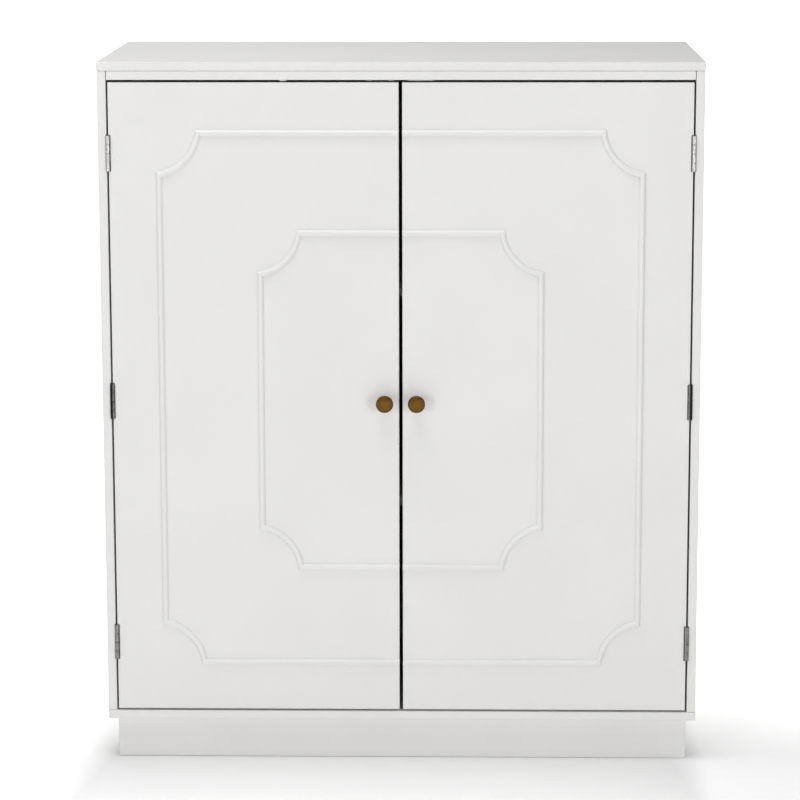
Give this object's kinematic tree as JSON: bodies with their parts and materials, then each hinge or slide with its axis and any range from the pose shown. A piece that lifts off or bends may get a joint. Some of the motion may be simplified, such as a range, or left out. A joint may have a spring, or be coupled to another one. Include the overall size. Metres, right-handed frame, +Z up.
{
  "type": "armoire",
  "caption": "Short white painted armoire on a recessed plinth, with inset doors on butt hinges, nested scooped-corner bead mouldings, round brass knobs and adjustable shelves inside.",
  "frame": {"origin": "middle of the footprint on the floor, halfway between the knobs' faces and the back edge", "axes": "+Z up, the doors face -Y, +X to the right of someone facing the doors"},
  "size_m": [0.852, 0.44, 1.01],
  "materials": {
    "white_paint": "satin white paint on fibreboard",
    "inside_paint": "flat white paint on fibreboard",
    "hardboard": "bare hardboard",
    "bare_wood": "bare softwood",
    "hinge_steel": "satin nickel-plated steel",
    "antique_brass": "antique brass, dark satin",
    "screw_steel": "zinc-plated steel",
    "catch_plastic": "dark moulded plastic",
    "felt": "grey felt"
  },
  "bodies": {
    "carcass": {"top_panel": "white_paint", "bottom_panel": "white_paint", "left_side_panel": "white_paint", "right_side_panel": "white_paint", "top_front_rail": "white_paint", "plinth_front": "white_paint", "plinth_back": "white_paint", "plinth_left": "white_paint", "plinth_right": "white_paint", "top_rear_rail": "inside_paint", "shelf_lower": "inside_paint", "shelf_upper": "inside_paint", "back_panel": "hardboard", "glue_block_front_left": "bare_wood", "glue_block_front_right": "bare_wood", "glue_block_back_left": "bare_wood", "glue_block_back_right": "bare_wood", "shelf_peg_lower_front_left": "screw_steel", "shelf_peg_lower_front_right": "screw_steel", "shelf_peg_lower_back_left": "screw_steel", "shelf_peg_lower_back_right": "screw_steel", "shelf_peg_upper_front_left": "screw_steel", "shelf_peg_upper_front_right": "screw_steel", "shelf_peg_upper_back_left": "screw_steel", "shelf_peg_upper_back_right": "screw_steel", "left_magnetic_catch": "catch_plastic", "right_magnetic_catch": "catch_plastic", "bumper_pad": "felt", "left_lower_hinge_frame_leaf": "hinge_steel", "left_lower_hinge_pin": "hinge_steel", "left_middle_hinge_frame_leaf": "hinge_steel", "left_middle_hinge_pin": "hinge_steel", "left_upper_hinge_frame_leaf": "hinge_steel", "left_upper_hinge_pin": "hinge_steel", "right_lower_hinge_frame_leaf": "hinge_steel", "right_lower_hinge_pin": "hinge_steel", "right_middle_hinge_frame_leaf": "hinge_steel", "right_middle_hinge_pin": "hinge_steel", "right_upper_hinge_frame_leaf": "hinge_steel", "right_upper_hinge_pin": "hinge_steel"},
    "left_door": {"left_door_panel": "white_paint", "left_outer_moulding": "white_paint", "left_inner_moulding": "white_paint", "left_knob": "antique_brass", "left_knob_screw": "screw_steel", "left_strike_plate": "screw_steel", "left_lower_hinge_door_leaf": "hinge_steel", "left_middle_hinge_door_leaf": "hinge_steel", "left_upper_hinge_door_leaf": "hinge_steel"},
    "right_door": {"right_door_panel": "white_paint", "right_outer_moulding": "white_paint", "right_inner_moulding": "white_paint", "right_knob": "antique_brass", "right_knob_screw": "screw_steel", "right_strike_plate": "screw_steel", "right_lower_hinge_door_leaf": "hinge_steel", "right_middle_hinge_door_leaf": "hinge_steel", "right_upper_hinge_door_leaf": "hinge_steel"}
  },
  "joints": [
    {"name": "left_door_hinge", "type": "hinge", "parent": "carcass", "child": "left_door", "pos_m": [-0.4108, -0.196, 0.5285], "axis": [0, 0, -1], "range_deg": [0, 170]},
    {"name": "right_door_hinge", "type": "hinge", "parent": "carcass", "child": "right_door", "pos_m": [0.4108, -0.196, 0.5285], "axis": [0, 0, 1], "range_deg": [0, 170]}
  ]
}
